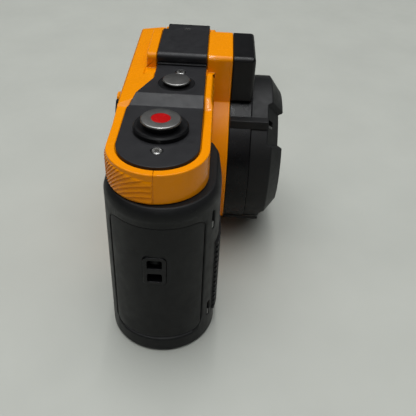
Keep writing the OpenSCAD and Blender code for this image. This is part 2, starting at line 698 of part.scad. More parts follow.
module main_board() color("darkgreen") difference() {
    union() {
        box([-body_near + 4, 1.2, body_bottom + 6], [body_far - 15, 2.6, cap_bottom + 2]);
        for (x = [-34, -8, 12], z = [22, 44])
            box([x - 6, 2.5, z - 5], [x + 6, 4.4, z + 5]);
    }
    translate([0, 0, -1]) cylinder(r = nut_r + 1, h = 20);
}

// ---------- grip ----------

// Plan of the grip, grown by o.
module grip_plan(o = 0) {
    translate([near_x, grip_y]) circle(grip_r + o);
    polygon([[near_x, grip_y - grip_r - o], [near_x + 5, grip_y - grip_r - o],
        [near_x + 16.8, grip_y - grip_r + 1.2 - o], [-body_near + o, grip_y - grip_r + 3.9 - o],
        [-body_near + o, grip_y + grip_r + o], [near_x, grip_y + grip_r + o]]);
}

// Half of the grip's section: rounded lower edge and eased upper edge, from the middle out.
function grip_side(r) = concat([[0, 0]],
    [for (a = [-90:15:0]) [r - grip_foot_r + grip_foot_r * cos(a), grip_foot_r + grip_foot_r * sin(a)]],
    [[r, grip_top - 3.4], [r - 0.5, grip_top - 1.6], [r - 1.8, grip_top], [0, grip_top]]);

// Grip block: turned at the near end, drawn out straight over the rest.
module grip_block() {
    translate([near_x, grip_y]) rotate_extrude($fn = 96) polygon(grip_side(grip_r));
    intersection() {
        linear_extrude(100) grip_plan();
        wall_yz(near_x, -body_near) for (s = [0, 1]) mirror([s, 0]) translate([s ? -grip_y : grip_y, 0])
            polygon(grip_side(grip_r));
    }
}

// Outline of the rubber skin seen along x, grown by o.
module wrap_outline(o) round_rect(-16.9 - o, wrap_low - o, 15.3 + o, wrap_high + o, 3 + o);

// Skin of the grip's rounded end, from depth d0 to d1.
module end_skin(d0, d1) linear_extrude(100) difference() {
    translate([near_x, grip_y]) circle(grip_r - d0);
    translate([near_x, grip_y]) circle(grip_r - d1);
    translate([near_x - 9, -50]) square(100);
}

bay_back = 12.6;
anchor_half_w = 4.05;
anchor_half_h = 6.3;
anchor_y = -0.3;
grip_foot_r = 1.5;
clip_z = [[10.5, 18], [grip_top - 14.9, grip_top - 7.4]];
pad_x0 = near_x - 6.4;
pad_x1 = near_x + 17.5;
pad_low = 10;
rib_count = floor((grip_top - 23.5 - pad_low) / rib_pitch);
rib_h = 0.9;
door_x0 = near_x - 11;
door_x1 = near_x + 15.8;
door_y = -1.5;
door_t = 2.4;
door_z = 0.3;
hinge_x = door_x1 + 1.4;
hinge_z = 2.1;

module grip_shell() color([0.12, 0.12, 0.13]) difference() {
    grip_block();
    // inside
    box([battery_x0 - 0.6, -16.2, 5.2], [-body_near - grip_wall, bay_back, grip_top - 1.6]);
    // mouth of the battery bay, and the ledge that the door closes on
    box([door_x0 + 1.6, door_y - door_w / 2 + 1.6, -1], [door_x1 - 2.4, door_y + door_w / 2 - 1.6, 6]);
    box([door_x0 - slide_gap, door_y - door_w / 2 - slide_gap, -1],
        [door_x1 - 0.9, door_y + door_w / 2 + slide_gap, door_z + door_t + 0.1]);
    box([door_x1 - 1, door_y - 8.3, -1], [hinge_x, door_y + 8.3, door_z + door_t + 0.1]);
    box([door_x1 - 1, door_y - door_w / 2 - slide_gap, -1],
        [hinge_x - 1.3, door_y + door_w / 2 + slide_gap, hinge_z - 0.8]);
    box([door_x0 - 3.4, door_y - 3.6, 0.7], [door_x0 + 1, door_y + 3.6, 2.6]);
    // hinge room and the pin's bore
    translate([hinge_x, door_y - 8.3, hinge_z]) rotate([-90, 0, 0]) cylinder(r = 2.3, h = 16.6, $fn = 48);
    box([door_x1, door_y - 8.3, -1], [hinge_x + 2.3, door_y + 8.3, hinge_z]);
    translate([hinge_x, door_y - 12.1, hinge_z]) rotate([-90, 0, 0]) cylinder(r = 1.02, h = 24.2, $fn = 48);
    // seat of the rubber skin with a groove around it
    intersection() {
        end_skin(-1, wrap_t + 0.05);
        wall_yz(near_x - 25, near_x) wrap_outline(wrap_groove);
    }
    // seat of the strap anchor
    wall_yz(near_x - 25, near_x - 13.2) anchor_outline(0.05);
    // seat of the finger pad
    intersection() {
        linear_extrude(100) difference() {
            grip_plan(1);
            grip_plan(-0.9);
        }
        box([pad_x0 - 0.1, -40, pad_low - 0.1], [pad_x1 + 0.1, -10, pad_low + rib_pitch * rib_count + 0.1]);
    }
    for (z = clip_z) clip_box(-grip_r - 1, 0.8, z[0], z[1]);
    // key panel and its keys
    wall_xz(grip_y + grip_r - 1.3, grip_y + grip_r + 5) key_outline(0.1);
    for (z = key_z) translate([key_x, 10, z]) rotate([-90, 0, 0]) cylinder(r = key_r + 0.3, h = 12);
}

module wrap_cut() wall_yz(near_x - 25, near_x) wrap_outline(0);

module anchor_outline(o) round_rect(anchor_y - anchor_half_w - o, anchor_z - anchor_half_h - o,
    anchor_y + anchor_half_w + o, anchor_z + anchor_half_h + o, 1.6 + o);

module grip_wrap() color([0.1, 0.1, 0.1]) difference() {
    intersection() {
        end_skin(0, wrap_t);
        wrap_cut();
    }
    wall_yz(near_x - 25, near_x) anchor_outline(0.15);
}

module finger_pad() color([0.1, 0.1, 0.1]) intersection() {
    union() {
        linear_extrude(100) difference() {
            grip_plan(0.1);
            grip_plan(-0.85);
        }
        for (i = [0:rib_count - 1]) translate([0, 0, pad_low + rib_pitch * (i + 0.22)])
            linear_extrude(rib_pitch * 0.56) difference() {
                grip_plan(rib_h);
                grip_plan(-0.5);
            }
    }
    box([pad_x0, -40, pad_low], [pad_x1, -10, pad_low + rib_pitch * rib_count]);
}

// Box in one of the two upright slots beside the finger pad, from x0 to the slot's bottom.
module clip_box(x0, w, z0, z1) translate([near_x, grip_y, 0]) rotate([0, 0, 63])
    box([x0, -w, z0], [-grip_r + 1.8, w, z1]);

// Spring tongue at the lower end of each slot.
module grip_clips() color("silver") for (z = clip_z) clip_box(-grip_r + 0.2, 0.45, z[0] + 0.3, z[0] + 2.8);

// Half width, half height and offset from the middle of the anchor's two slots.
slot_half_w = 2.6;
slot_half_h = 1.9;
slot_off = 3.1;
module strap_anchor() color([0.06, 0.06, 0.06]) difference() {
    wall_yz(near_x - grip_r - 0.2, near_x - 13.3) anchor_outline(0);
    for (s = [-1, 1]) wall_yz(near_x - 25, near_x - 14.6)
        round_rect(anchor_y - slot_half_w, anchor_z + s * slot_off - slot_half_h, anchor_y + slot_half_w,
            anchor_z + s * slot_off + slot_half_h, 0.7);
    // passage behind the bar
    box([near_x - grip_r + 1.6, anchor_y - slot_half_w, anchor_z - slot_off - slot_half_h],
        [near_x - 14.6, anchor_y + slot_half_w, anchor_z + slot_off + slot_half_h]);
    translate([near_x - grip_r + 2.5, anchor_y - 3.6, anchor_z]) rotate([-90, 0, 0])
        cylinder(r = 0.8, h = 7.2, $fn = 36);
}

module strap_bar() color("silver") translate([near_x - grip_r + 2.5, anchor_y - 3.5, anchor_z])
    rotate([-90, 0, 0]) cylinder(r = 0.78, h = 7, $fn = 36);

// ---------- keys on the back of the grip ----------

key_x = near_x + 8.8;
key_mid = grip_top / 2 + 1.9;
key_z = [key_mid - 17, key_mid, key_mid + 17];
key_names = ["play", "ok", "menu"];
module key_outline(o) round_rect(key_x - 8 - o, key_z[0] - 9 - o, key_x + 8 + o, key_z[2] + 9 + o, 4 + o);

module key_panel() color([0.05, 0.05, 0.05]) difference() {
    wall_xz(grip_y + grip_r - 1.2, grip_y + grip_r + 0.05) key_outline(0);
    for (z = key_z) translate([key_x, 10, z]) rotate([-90, 0, 0]) cylinder(r = key_r + 0.25, h = 12);
}

// One round key with a flange behind the panel.
module round_key(z) translate([key_x, grip_y + grip_r - 2.4, z]) rotate([-90, 0, 0])
    button_disc(key_r, 3, 0.3);

module play_key() color([0.2, 0.2, 0.2]) round_key(key_z[0]);

module ok_key() color([0.2, 0.2, 0.2]) round_key(key_z[1]);

module menu_key() color([0.2, 0.2, 0.2]) round_key(key_z[2]);

// Rubber sheet with a dome under each key.
module key_mat() color([0.3, 0.3, 0.3]) {
    wall_xz(bay_back - 1, bay_back - 0.05) key_outline(-1);
    for (z = key_z) translate([key_x, bay_back - 0.1, z]) rotate([-90, 0, 0])
        cylinder(r = key_r - 0.6, h = grip_y + grip_r - 2.5 - bay_back - key_travel);
}

// ---------- battery and its door ----------

module battery_door() color([0.1, 0.1, 0.1]) difference() {
    union() {
        box([door_x0, door_y - door_w / 2, door_z], [door_x1 - 1.2, door_y + door_w / 2, door_z + door_t]);
        box([door_x1 - 2, door_y - 8, door_z], [hinge_x, door_y + 8, door_z + door_t]);
        translate([hinge_x, door_y - 8, hinge_z]) rotate([-90, 0, 0])
            cylinder(r = hinge_z - door_z, h = 16, $fn = 48);
    }
    translate([hinge_x, door_y - 9, hinge_z]) rotate([-90, 0, 0]) cylinder(r = 1 + run_fit, h = 18, $fn = 48);
    // channel of the latch
    box([door_x0 - 1, door_y - 3.3, door_z + 0.5], [door_x0 + 8, door_y + 3.3, door_z + 1.5]);
    box([door_x0 - 1, door_y - 2.5, door_z - 1], [door_x0 + 8, door_y + 2.5, door_z + 0.6]);
}

module door_pin() color("silver") translate([hinge_x, door_y - 12, hinge_z]) rotate([-90, 0, 0])
    cylinder(r = 1, h = 24, $fn = 48);

module door_latch() color([0.45, 0.45, 0.45]) {
    box([door_x0 + 0.1, door_y - 3.2, door_z + 0.55], [door_x0 + 5, door_y + 3.2, door_z + 1.45]);
    for (x = [2.9, 4.2]) box([door_x0 + x, door_y - 2.4, door_z + 0.1],
        [door_x0 + x + 0.7, door_y + 2.4, door_z + 0.6]);
}

module battery() color("slateblue") difference() {
    box([battery_x0, door_y - door_w / 2 + 1.9, 5.6], [battery_x1, door_y + door_w / 2 - 1.9, grip_top - 4]);
    // contact pads
    for (s = [-1, 1])
        box([battery_x1 - 6, door_y + s * 4 - 1.5, 5], [battery_x1 - 2, door_y + s * 4 + 1.5, 6]);
}

// ---------- base ----------

nut_r = 4.8;
base_x0 = -40;
base_x1 = 29;
module base_screw_cuts(o) for (x = [base_x0 + 5, base_x1 - 5], y = [-9, 10])
    translate([x, y, 0.5]) cylinder(r = 1.1 + o, h = body_bottom + 2.6, $fn = 36);

module base_plate() color([0.1, 0.1, 0.1]) difference() {
    wall_yz(base_x0, base_x1) polygon([[-12.4, 0], [13.4, 0], [15.2, 1.8], [15.2, body_bottom - 0.05],
        [-14.2, body_bottom - 0.05], [-14.2, 1.8]]);
    translate([0, 0, -1]) cylinder(r = nut_r + 0.02, h = 10);
    for (x = [base_x0 + 5, base_x1 - 5], y = [-9, 10]) translate([x, y, -1]) {
        cylinder(r = 2.2, h = 3, $fn = 36);
        cylinder(r = 1.2, h = 10, $fn = 36);
    }
}

module base_screws() color("silver") for (x = [base_x0 + 5, base_x1 - 5], y = [-9, 10])
    translate([x, y, 0.6]) mirror([0, 0, 1]) screw(2.1, 1.3, 1.1, body_bottom + 1.6);

module tripod_nut() color("gold") difference() {
    union() {
        cylinder(r = nut_r, h = body_bottom + 3);
        translate([0, 0, body_bottom + 2.4]) cylinder(r = nut_r + 1.6, h = 1.4);
    }
    translate([0, 0, -1]) cylinder(r = 2.55, h = 8);
}

// ---------- port door ----------

module port_door() color("orange") difference() {
    union() {
        box([body_far - port_t, port_y0, port_z0], [body_far, port_pin_y - 0.2, port_z1]);
        translate([port_pin_x, port_pin_y, port_z0]) cylinder(r = 1.6, h = port_z1 - port_z0, $fn = 48);
    }
    translate([port_pin_x, port_pin_y, port_z0 - 1])
        cylinder(r = 0.75 + run_fit, h = port_z1 - port_z0 + 2, $fn = 48);
    // fingernail notch
    box([body_far - 0.8, port_y0 - 1, 38], [body_far + 1, port_y0 + 1, 44]);
}

module port_pin() color("silver") translate([port_pin_x, port_pin_y, port_z0 - 2.9])
    cylinder(r = 0.75, h = port_z1 - port_z0 + 5.8, $fn = 48);

// Block with the data socket and the card slot, at the bottom of the port bay.
module port_block() color("dimgray") difference() {
    box([bay_x + 0.05, port_y0 + 1.1, port_z0 + 2.1], [bay_x + 3, port_y1 - 1.9, port_z1 - 2.1]);
    wall_yz(bay_x + 1, body_far) round_rect(6, port_z0 + 5, 10, port_z0 + 14.4, 1.6);
    wall_yz(bay_x + 1, body_far) translate([7, port_z0 + 20]) square([1.8, 15]);
}

front_shell();
rear_shell();
shell_gasket();
spine_plate();
hump_saddle();
far_plate();
top_screws();
hump_front_cover();
lamp_window();
lamp_board();
record_stem();
record_cap();
record_dot();
record_collar();
record_spring();
power_stem();
power_cap();
power_ring();
power_spring();
zoom_rocker();
rocker_pin();
display_glass();
display_panel();
display_frame();
lens_housing();
lens_guard();
corner_rails();
guard_clips();
port_bezel();
front_glass();
port_seal();
lens_barrel();
front_element();
middle_element();
rear_element();
iris_plate();
image_sensor();
sensor_board();
main_board();
grip_shell();
grip_wrap();
finger_pad();
grip_clips();
strap_anchor();
strap_bar();
key_panel();
menu_key();
ok_key();
play_key();
key_mat();
battery_door();
door_pin();
door_latch();
battery();
base_plate();
base_screws();
tripod_nut();
port_door();
port_pin();
port_block();
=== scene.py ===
"""Looks of a rounded action camera: orange shells, a metal spine with two buttons, a rubber grip, a lens drum."""
import json
import math

import bmesh
import bpy
import numpy as np
from mathutils import Matrix, Vector

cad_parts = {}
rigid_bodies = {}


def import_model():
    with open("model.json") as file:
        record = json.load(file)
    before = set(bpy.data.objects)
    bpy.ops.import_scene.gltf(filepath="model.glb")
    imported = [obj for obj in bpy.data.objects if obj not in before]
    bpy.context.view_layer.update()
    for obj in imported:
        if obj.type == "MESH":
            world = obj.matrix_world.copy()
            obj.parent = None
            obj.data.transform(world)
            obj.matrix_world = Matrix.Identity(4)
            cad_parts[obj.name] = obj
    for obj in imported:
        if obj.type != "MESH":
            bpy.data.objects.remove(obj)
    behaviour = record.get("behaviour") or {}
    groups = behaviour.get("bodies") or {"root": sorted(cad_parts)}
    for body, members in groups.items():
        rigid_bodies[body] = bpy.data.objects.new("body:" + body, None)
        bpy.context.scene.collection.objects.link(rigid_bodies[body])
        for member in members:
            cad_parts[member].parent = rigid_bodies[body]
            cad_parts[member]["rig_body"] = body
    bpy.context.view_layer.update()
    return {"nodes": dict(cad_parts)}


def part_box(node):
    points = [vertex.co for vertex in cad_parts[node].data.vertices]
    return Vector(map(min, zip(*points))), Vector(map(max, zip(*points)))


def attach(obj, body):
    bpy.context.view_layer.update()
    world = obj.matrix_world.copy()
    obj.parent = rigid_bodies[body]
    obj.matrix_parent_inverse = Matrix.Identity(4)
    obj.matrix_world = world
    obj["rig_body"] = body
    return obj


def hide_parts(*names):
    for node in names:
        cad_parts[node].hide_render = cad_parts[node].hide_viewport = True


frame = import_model()
nodes = frame["nodes"]
mm = 0.001


# ---- View ----
# The camera stands off the grip's end and looks along the body, down at the top plate.
view_pitch = math.radians(38.1)
view_roll = math.radians(3.05)
view_place = (-0.2325, -0.0177, 0.1819)
focal_length, sensor_width = 48.63, 36
ahead = Vector((math.cos(view_pitch), 0, -math.sin(view_pitch)))
flat_right = Vector((0, -1, 0))
flat_down = Vector((-math.sin(view_pitch), 0, -math.cos(view_pitch)))
right = math.cos(view_roll) * flat_right - math.sin(view_roll) * flat_down
up = -(math.sin(view_roll) * flat_right + math.cos(view_roll) * flat_down)
camera_data = bpy.data.cameras.new("camera")
camera_data.lens = focal_length
camera_data.sensor_width = sensor_width
camera = bpy.data.objects.new("camera", camera_data)
turn = Matrix((right, up, -ahead)).transposed().to_4x4()
camera.matrix_world = Matrix.Translation(view_place) @ turn
bpy.context.scene.collection.objects.link(camera)
bpy.context.scene.camera = camera
bpy.context.scene.view_settings.view_transform = "Standard"


# ---- Orange shells ----
# Front and rear half of the body and the port door: moulded plastic under gloss paint with a slow waviness.
# The halves are CAD meshes with their edges rounded by just under half a millimetre. The door isn't rounded.
def link(tree, start, end):
    """Joins one node's output socket to another's input socket."""
    tree.links.new(start, end)


def noise(tree, size, detail=3.0):
    """Noise on Object coordinates whose features are about size metres across."""
    where = tree.nodes.new("ShaderNodeTexCoord")
    pattern = tree.nodes.new("ShaderNodeTexNoise")
    pattern.inputs["Scale"].default_value = 1 / size
    pattern.inputs["Detail"].default_value = detail
    link(tree, where.outputs["Object"], pattern.inputs["Vector"])
    return pattern.outputs["Fac"]


def spread(tree, value, low, high, start=0.3, stop=0.7):
    """Maps a noise value from start..stop to low..high, held at both ends."""
    ramp = tree.nodes.new("ShaderNodeMapRange")
    ramp.inputs["From Min"].default_value = start
    ramp.inputs["From Max"].default_value = stop
    ramp.inputs["To Min"].default_value = low
    ramp.inputs["To Max"].default_value = high
    link(tree, value, ramp.inputs["Value"])
    return ramp.outputs["Result"]


def blend_colours(tree, value, first, second):
    """Mixes two linear colours by a value from 0 to 1. The first may be another node's output."""
    mix = tree.nodes.new("ShaderNodeMix")
    mix.data_type = "RGBA"
    link(tree, value, mix.inputs["Factor"])
    if isinstance(first, tuple):
        mix.inputs[6].default_value = (*first, 1)
    else:
        link(tree, first, mix.inputs[6])
    mix.inputs[7].default_value = (*second, 1)
    return mix.outputs[2]


def bumped(tree, height, depth, under=None):
    """Normal of a surface raised by height times depth metres, laid over an earlier bump."""
    bump = tree.nodes.new("ShaderNodeBump")
    bump.inputs["Distance"].default_value = depth
    link(tree, height, bump.inputs["Height"])
    if under:
        link(tree, under, bump.inputs["Normal"])
    return bump.outputs["Normal"]


speck_size, speck_colour = 0.0006, (0.35, 0.34, 0.32)


def finish(name, colour, rough, metal=0.0, mottle=0.10, patch=0.014, rough_drift=0.06,
           grains=((0.0004, 0.000004),), dust=0.0, **sockets):
    """A material: colour drifts by mottle over patch metres, roughness drifts with it, and each grain is a
    bump of (size, depth) metres. Dust is the share of pale specks. Other sockets are set by name."""
    made = bpy.data.materials.new(name)
    made.use_nodes = True
    tree = made.node_tree
    shader = tree.nodes["Principled BSDF"]
    darker = tuple(c * (1 - mottle) for c in colour)
    lighter = tuple(min(c * (1 + mottle), 1) for c in colour)
    tint = blend_colours(tree, spread(tree, noise(tree, patch), 0, 1), darker, lighter)
    if dust:
        speck = spread(tree, noise(tree, speck_size, 1.0), 0, dust, 0.70, 0.78)
        tint = blend_colours(tree, speck, tint, speck_colour)
    link(tree, tint, shader.inputs["Base Color"])
    scuff = noise(tree, patch / 5, 6.0)
    link(tree, spread(tree, scuff, rough - rough_drift, rough + rough_drift), shader.inputs["Roughness"])
    normal = None
    for size, depth in grains:
        normal = bumped(tree, noise(tree, size, 2.0), depth, normal)
    link(tree, normal, shader.inputs["Normal"])
    shader.inputs["Metallic"].default_value = metal
    for socket, value in sockets.items():
        shader.inputs[socket.replace("_", " ")].default_value = value
    return made


def dress(material, *names):
    """Gives CAD nodes their finish."""
    for name in names:
        slots = nodes[name].material_slots
        for slot in slots:
            slot.material = material
        if not slots:
            nodes[name].data.materials.append(material)


def place_mesh(name, mesh, material, body, slot, *stands_for):
    """Links a finished mesh as a piece that rides on a body and may stand for CAD nodes. The slot is not used."""
    piece = bpy.data.objects.new(name, mesh)
    bpy.context.scene.collection.objects.link(piece)
    mesh.materials.append(material)
    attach(piece, body)
    if stands_for:
        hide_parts(*stands_for)
    return piece


def smooth_by_angle(mesh, degrees):
    """Shades a mesh smooth, with sharp edges where faces meet at more than the given angle."""
    mesh.polygons.foreach_set("use_smooth", [True] * len(mesh.polygons))
    mesh.set_sharp_from_angle(angle=math.radians(degrees))


weld_distance = 2e-6
flat_angle, edge_angle, smooth_angle = 0.4, 24, 30
edge_segments = 3
seam_reach, seam_share = 0.2 * mm, 0.12


def eased(node, width, material, slot, seam=False, slices=(), sharp=None):
    """A copy of a CAD node with its doubles merged, flat triangles joined and edges rounded by width metres.
    Edges in the parting plane stay almost sharp when seam is set. Slices are heights to cut long faces at.
    Edges inside the box sharp = (low, high) are left alone."""
    work = bmesh.new()
    work.from_mesh(nodes[node].data)
    bmesh.ops.remove_doubles(work, verts=work.verts, dist=weld_distance)
    bmesh.ops.dissolve_limit(work, angle_limit=math.radians(flat_angle), verts=work.verts, edges=work.edges)
    for height in slices:
        bmesh.ops.bisect_plane(work, geom=work.verts[:] + work.edges[:] + work.faces[:], dist=1e-6,
                               plane_co=(0, 0, height), plane_no=(0, 0, 1))
    work.verts.index_update()
    places = [v.co.copy() for v in work.verts]
    faces = [[v.index for v in f.verts] for f in work.faces]
    limit = math.radians(edge_angle)
    weight = {}
    for e in work.edges:
        on_seam = seam and all(abs(v.co.y) < seam_reach for v in e.verts)
        turned_by = e.calc_face_angle(0)
        if sharp and all(sharp[0][i] < v.co[i] < sharp[1][i] for v in e.verts for i in range(3)):
            turned_by = 0
        full = seam_share if on_seam else 1.0
        weight[frozenset(v.index for v in e.verts)] = full if turned_by > limit else 0.0
    work.free()
    mesh = bpy.data.meshes.new(node + "_eased")
    mesh.from_pydata(places, [], faces)
    weights = mesh.attributes.new("bevel_weight_edge", "FLOAT", "EDGE")
    weights.data.foreach_set("value", [weight.get(frozenset(e.vertices), 0.0) for e in mesh.edges])
    smooth_by_angle(mesh, smooth_angle)
    piece = place_mesh(node + "_eased", mesh, material, nodes[node]["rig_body"], slot, node)
    edge = piece.modifiers.new("edge", "BEVEL")
    edge.width = width
    edge.segments = edge_segments
    edge.limit_method = "WEIGHT"
    edge.use_clamp_overlap = False
    edge.miter_outer = "MITER_ARC"
    normals = piece.modifiers.new("normals", "WEIGHTED_NORMAL")
    normals.keep_sharp = False
    return piece


orange = (0.83, 0.265, 0.0)
paint = finish("orange_paint", orange, 0.26, mottle=0.03, rough_drift=0.05,
               grains=((0.0045, 0.00003), (0.0007, 0.0000012)), Coat_Weight=0.15, Coat_Roughness=0.05,
               Specular_IOR_Level=0.08)
eased("front_shell", 0.45 * mm, paint, "orange_gloss", seam=True)
frame_low, frame_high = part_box("display_frame")
eased("rear_shell", 0.45 * mm, paint, "orange_gloss", seam=True,
      sharp=(frame_low - Vector((7, 1, 30)) * mm, frame_high + Vector((6, 0.1, 0.5)) * mm))
dress(paint, "port_door")


# ---- Thumb grooves ----
# The rear half of the cap's rounded end has shallow grooves that start level at the seam and fall to the back.
# They are moulded into the shell; here a skin over the band, closed at the rim, the seam and both ends.
def grid_mesh(name, points, close_u=False, close_v=False):
    """Mesh of a rows x columns grid of points, as quads, joined round in either direction when closed."""
    rows, columns = points.shape[:2]
    row, column = np.meshgrid(np.arange(rows - (not close_u)), np.arange(columns - (not close_v)), indexing="ij")
    next_row, next_column = (row + 1) % rows, (column + 1) % columns
    quads = np.stack([row * columns + column, next_row * columns + column,
                      next_row * columns + next_column, row * columns + next_column], -1).reshape(-1, 4)
    mesh = bpy.data.meshes.new(name)
    mesh.from_pydata(points.reshape(-1, 3).tolist(), [], quads.tolist())
    return mesh


def ease(t):
    """Smooth step: 3 t squared minus 2 t cubed, held outside 0 to 1."""
    t = np.clip(t, 0, 1)
    return t * t * (3 - 2 * t)


cap_r = 17.5 * mm
near_x = -72.8 * mm
band_low, band_high = 70.45 * mm, 81.75 * mm
groove_pitch, groove_depth = 2.14 * mm, 0.5 * mm
groove_fall, pitch_loss = 18.6 * mm, 0.3
rise_share, step_share = 0.86, 0.14
straight_run = 9 * mm
skin_sink, skin_lift, skin_back = 0.12 * mm, 0.14 * mm, 0.7 * mm


def groove_skin():
    """Radius = cap radius + depth x saw of (first groove's height - height) / pitch. The first height falls by
    groove_fall x (1 - cos of the turn), so each groove follows a plane that is tilted back, and the pitch
    shrinks by pitch_loss on the way round. The saw grows downward over rise_share of a pitch and steps back; it
    fades near the rim and the ends. The path is a quarter circle from the seam, then a straight run."""
    arc = cap_r * math.pi / 2
    along = np.linspace(0, arc + straight_run, 240)[:, None]
    height = np.linspace(band_low, band_high, 170)[None, :]
    turn = np.clip(along, 0, arc) / cap_r
    run = np.clip(along - arc, 0, None)
    closer = pitch_loss * ease(turn / 1.1)
    first = band_high - 2.03 * mm - groove_fall * (1 - np.cos(turn)) - closer * groove_pitch - run
    down = np.mod((first - height) / (groove_pitch * (1 - closer)), 1)
    wave = np.minimum(down / rise_share, (1 - down) / step_share)
    top = band_high - 2.5 * mm + 1.3 * mm * ease(along / (12 * mm))
    fade = ease((top - height) / (1.0 * mm) + 0.5) * ease((height - band_low - 0.6 * mm) / (0.4 * mm))
    fade = fade * ease(along / (0.6 * mm)) * ease((arc + 8 * mm - along) / (6 * mm))
    radius = cap_r - skin_sink + (skin_lift + groove_depth * wave) * fade
    outer = np.stack([near_x - radius * np.cos(turn) + run, radius * np.sin(turn) + 0 * height,
                      height + 0 * along], -1)
    inner = outer.copy()
    back = radius - (cap_r - skin_back)
    inner[..., 0] += back * np.cos(turn)
    inner[..., 1] -= back * np.sin(turn)
    return np.concatenate([outer, inner[:, ::-1]], axis=1)


def outward(mesh):
    """Turns the faces of a closed mesh outward."""
    work = bmesh.new()
    work.from_mesh(mesh)
    bmesh.ops.recalc_face_normals(work, faces=work.faces)
    work.to_mesh(mesh)
    work.free()


def closed_tube(name, ring):
    """A grid closed across its columns, with the first and last rows capped by a face each."""
    mesh = grid_mesh(name, ring, close_v=True)
    work = bmesh.new()
    work.from_mesh(mesh)
    bmesh.ops.holes_fill(work, edges=[e for e in work.edges if e.is_boundary])
    work.to_mesh(mesh)
    work.free()
    outward(mesh)
    return mesh


grooves = closed_tube("thumb_grooves", groove_skin())
smooth_by_angle(grooves, 50)
place_mesh("thumb_grooves", grooves, paint, "camera", "orange_gloss")


# ---- Metal spine ----
# The plates on top: near plate with the buttons, the saddle over the hump and the far plate.
# Bead-blasted and black anodised aluminium with a fine grain, held by steel screws.
spine_metal = finish("black_anodised", (0.013, 0.013, 0.0145), 0.42, mottle=0.10, grains=((0.00022, 0.000004),),
                     dust=0.03, Specular_IOR_Level=0.28)
for name in ("spine_plate", "hump_saddle", "far_plate"):
    eased(name, 0.3 * mm, spine_metal, "black_metal")
steel = finish("screw_steel", (0.62, 0.61, 0.59), 0.22, metal=1.0, grains=((0.0003, 0.000002),))
dress(steel, "top_screws", "base_screws", "rocker_pin", "door_pin", "port_pin", "record_spring",
      "power_spring")
clip_steel = finish("dull_clip_steel", (0.22, 0.22, 0.22), 0.45, metal=1.0, grains=((0.0003, 0.000004),))
dress(clip_steel, "guard_clips", "grip_clips")
# Painted shade: the strap bar is given a near-black colour so the slot round it reads dark, as it does in shade.
strap_bar_shade_steel = finish("strap_bar_painted_shade", (0.02, 0.02, 0.02), 0.5, metal=1.0, grains=((0.0003, 0.000004),))
dress(strap_bar_shade_steel, "strap_bar")


# ---- Record and power buttons ----
# Turned steel caps on black stems, the larger one with a red enamel dot, each in a black collar.
# Every part is a lathe form: its profile is turned about the button's own upright axis.
lathe_steps = 128


def turned(name, profile, centre):
    """Turns (radius, height) points about an upright axis at centre. The first and last points lie on the axis
    or the profile is a closed loop."""
    profile = np.array(profile, float)
    around = np.linspace(0, 2 * np.pi, lathe_steps, endpoint=False)[:, None]
    points = np.stack([centre[0] + profile[:, 0] * np.cos(around), centre[1] + profile[:, 0] * np.sin(around),
                       centre[2] + profile[:, 1] + 0 * around], -1)
    mesh = grid_mesh(name, points, close_u=True)
    work = bmesh.new()
    work.from_mesh(mesh)
    bmesh.ops.remove_doubles(work, verts=work.verts, dist=1e-7)
    work.to_mesh(mesh)
    work.free()
    outward(mesh)
    smooth_by_angle(mesh, 40)
    return mesh


def corner(centre_r, centre_h, radius, start, stop, steps=6):
    """Points of an arc in the profile plane, angles in degrees from the outward direction."""
    angles = np.radians(np.linspace(start, stop, steps))
    return [(centre_r + radius * math.cos(a), centre_h + radius * math.sin(a)) for a in angles]


ring_width, ring_depth = 0.00012, 0.0000015


def spun(name, colour, rough, centre):
    """Metal with fine rings about an upright axis through centre: the bump is noise of the radius alone."""
    made = finish(name, colour, rough, metal=1.0, mottle=0.03, rough_drift=0.03, grains=((0.0002, 0.0000004),))
    tree = made.node_tree
    shader = tree.nodes["Principled BSDF"]
    where = tree.nodes.new("ShaderNodeTexCoord")
    place = tree.nodes.new("ShaderNodeMapping")
    place.inputs["Location"].default_value = (-centre[0], -centre[1], 0)
    flatten = tree.nodes.new("ShaderNodeVectorMath")
    flatten.operation = "MULTIPLY"
    flatten.inputs[1].default_value = (1, 1, 0)
    radius = tree.nodes.new("ShaderNodeVectorMath")
    radius.operation = "LENGTH"
    rings = tree.nodes.new("ShaderNodeTexNoise")
    rings.noise_dimensions = "1D"
    rings.inputs["Scale"].default_value = 1 / ring_width
    link(tree, where.outputs["Object"], place.inputs["Vector"])
    link(tree, place.outputs["Vector"], flatten.inputs[0])
    link(tree, flatten.outputs["Vector"], radius.inputs[0])
    link(tree, radius.outputs["Value"], rings.inputs["W"])
    under = shader.inputs["Normal"].links[0].from_socket
    link(tree, bumped(tree, rings.outputs["Fac"], ring_depth, under), shader.inputs["Normal"])
    return made


def middle(node):
    """Centre of a node's box in X and Y, with its lowest height."""
    low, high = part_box(node)
    return ((low.x + high.x) / 2, (low.y + high.y) / 2, low.z)


def size_of(node):
    """Radius and height of an upright round node."""
    low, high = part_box(node)
    return (high.x - low.x) / 2, high.z - low.z


rim_rounding, pocket_depth = 0.42 * mm, 0.3 * mm


def cap_profile(radius, height, rounding, dot=0.0):
    """A disc with rounded rims, the lower one 0.6 as round, and a shallow pocket of radius dot."""
    under = rounding * 0.6
    low = corner(radius - under, under, under, -90, 0)
    high = corner(radius - rounding, height - rounding, rounding, 0, 90, 8)
    floor_at = height - pocket_depth
    pocket = [(dot, height), (dot, floor_at), (0, floor_at)] if dot else [(0, height)]
    return [(0, 0)] + low + high + pocket


